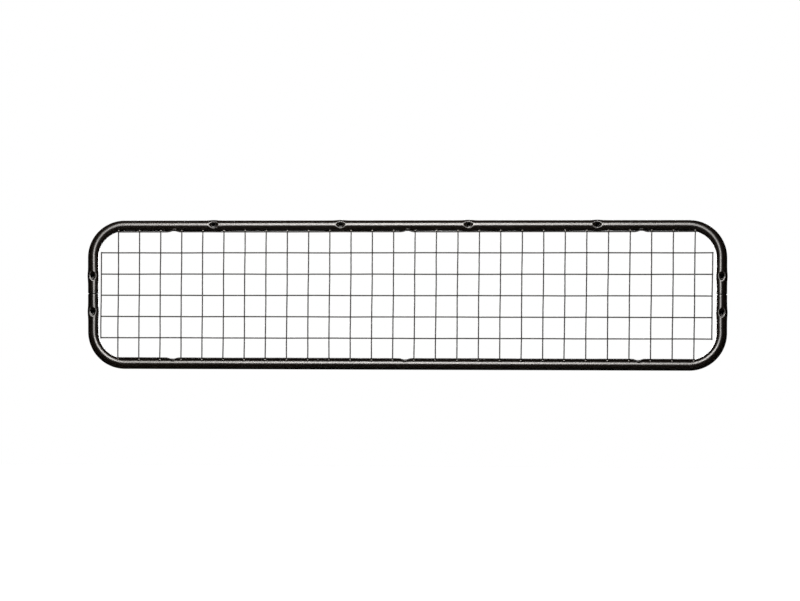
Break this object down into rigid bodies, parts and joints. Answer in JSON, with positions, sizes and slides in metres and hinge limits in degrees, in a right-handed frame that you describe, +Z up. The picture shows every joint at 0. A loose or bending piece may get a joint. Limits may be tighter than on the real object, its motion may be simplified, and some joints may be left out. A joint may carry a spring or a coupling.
{
  "type": "windshield screen",
  "caption": "Long, round-cornered tubular steel frame filled with welded wire mesh, with dimpled fixing holes along the top and sides.",
  "frame": {"origin": "middle of the frame, on the plane of the tubes' centre lines", "axes": "+X along the frame to the right as seen from the front, +Y to the rear, +Z up; the front faces -Y"},
  "size_m": [1.524, 0.0264, 0.3556],
  "materials": {
    "frame_coat": "satin black powder coat on bent steel tube",
    "wire_coat": "satin black powder coat on welded steel wire",
    "weld_coat": "satin black powder coat over a rough weld bead",
    "bare_steel": "bare drawn steel, hidden inside the frame"
  },
  "bodies": {
    "root": {"upper_frame_tube": "frame_coat", "lower_frame_tube": "frame_coat", "left_splice_sleeve": "bare_steel", "right_splice_sleeve": "bare_steel", "upright_wire_01": "wire_coat", "upright_wire_02": "wire_coat", "upright_wire_03": "wire_coat", "upright_wire_04": "wire_coat", "upright_wire_05": "wire_coat", "upright_wire_06": "wire_coat", "upright_wire_07": "wire_coat", "upright_wire_08": "wire_coat", "upright_wire_09": "wire_coat", "upright_wire_10": "wire_coat", "upright_wire_11": "wire_coat", "upright_wire_12": "wire_coat", "upright_wire_13": "wire_coat", "upright_wire_14": "wire_coat", "upright_wire_15": "wire_coat", "upright_wire_16": "wire_coat", "upright_wire_17": "wire_coat", "upright_wire_18": "wire_coat", "upright_wire_19": "wire_coat", "upright_wire_20": "wire_coat", "upright_wire_21": "wire_coat", "upright_wire_22": "wire_coat", "upright_wire_23": "wire_coat", "upright_wire_24": "wire_coat", "upright_wire_25": "wire_coat", "upright_wire_26": "wire_coat", "upright_wire_27": "wire_coat", "upright_wire_28": "wire_coat", "left_end_wire": "wire_coat", "right_end_wire": "wire_coat", "cross_wire_1": "wire_coat", "cross_wire_2": "wire_coat", "cross_wire_3": "wire_coat", "cross_wire_4": "wire_coat", "cross_wire_5": "wire_coat", "top_edge_wire": "wire_coat", "bottom_edge_wire": "wire_coat", "tack_weld_top_left": "weld_coat", "tack_weld_top_middle": "weld_coat", "tack_weld_top_right": "weld_coat", "tack_weld_bottom_left": "weld_coat", "tack_weld_bottom_middle": "weld_coat", "tack_weld_bottom_right": "weld_coat"}
  },
  "joints": []
}
